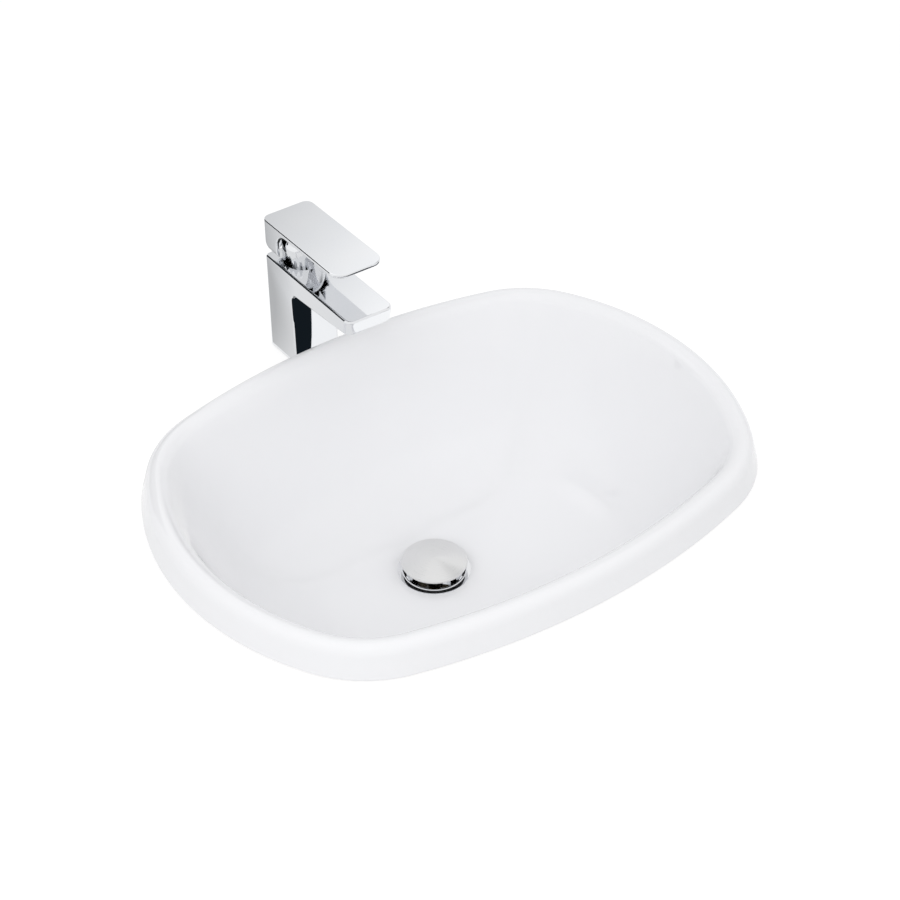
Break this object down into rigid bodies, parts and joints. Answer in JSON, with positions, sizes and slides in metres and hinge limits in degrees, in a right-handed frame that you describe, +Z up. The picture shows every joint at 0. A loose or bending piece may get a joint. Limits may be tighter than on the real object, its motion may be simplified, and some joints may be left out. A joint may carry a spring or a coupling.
{
  "type": "inset washbasin with mixer tap",
  "caption": "Drop-in ceramic washbasin with a raised soft-cornered rim, a pop-up waste with a rising cap, and a deck mixer tap with a lever that tilts and swivels.",
  "frame": {"origin": "middle of the basin's rim on the counter's top face, where the bedding strip rests", "axes": "+X along the basin's long side, +Y from the basin's front towards the tap, +Z up"},
  "size_m": [0.6, 0.5099, 0.3785],
  "materials": {
    "china": "glossy white glaze",
    "sealant": "cured white sealant",
    "chrome": "polished chrome plate on brass",
    "brass": "machined",
    "black_rubber": "moulded",
    "steel": "zinc plated",
    "white_plastic": "moulded",
    "grey_plastic": "moulded",
    "disc_ceramic": "lapped alumina"
  },
  "bodies": {
    "basin": {"ceramic_basin": "china", "rim_seal": "sealant", "waste_body": "chrome", "tap_body": "chrome", "dome_cover": "chrome", "aerator_housing": "chrome", "waste_spider": "brass", "click_sleeve": "brass", "waste_back_nut": "brass", "tail_block": "brass", "cartridge_nut": "brass", "waste_upper_seal": "black_rubber", "waste_lower_seal": "black_rubber", "base_gasket": "black_rubber", "horseshoe_pad": "black_rubber", "aerator_washer": "black_rubber", "cartridge_seal": "black_rubber", "return_spring": "steel", "fixing_stud": "steel", "horseshoe_plate": "steel", "fixing_nut": "steel", "waste_slip_washer": "white_plastic", "aerator_insert": "white_plastic", "cartridge_housing": "grey_plastic", "fixed_disc": "disc_ceramic"},
    "plug": {"plug_cap": "chrome", "plug_seal": "black_rubber", "plug_stem": "brass"},
    "swivel": {"cartridge_driver": "grey_plastic", "spindle_pin": "steel"},
    "handle": {"lever": "chrome", "spindle": "brass", "grub_screw": "steel"},
    "disc": {"disc_carrier": "grey_plastic", "moving_disc": "disc_ceramic"}
  },
  "joints": [
    {"name": "plug_travel", "type": "slide", "parent": "basin", "child": "plug", "axis": [0, 0, 1], "range_m": [-0.0065, 0], "stiffness_N_per_m": 600, "springref_m": 0.012, "deforming": ["return_spring"]},
    {"name": "lever_swivel", "type": "hinge", "parent": "basin", "child": "swivel", "pos_m": [0, 0.253, 0], "axis": [0, 0, 1], "range_deg": [-45, 45]},
    {"name": "lever_tilt", "type": "hinge", "parent": "swivel", "child": "handle", "pos_m": [0, 0.253, 0.128], "axis": [-1, 0, 0], "range_deg": [0, 18]},
    {"name": "disc_slide", "type": "slide", "parent": "swivel", "child": "disc", "axis": [0, -1, 0], "range_m": [0, 0.0033]}
  ],
  "couplings": [
    {"joint": "disc_slide", "follows": "lever_tilt", "m_per_rad": 0.01}
  ]
}
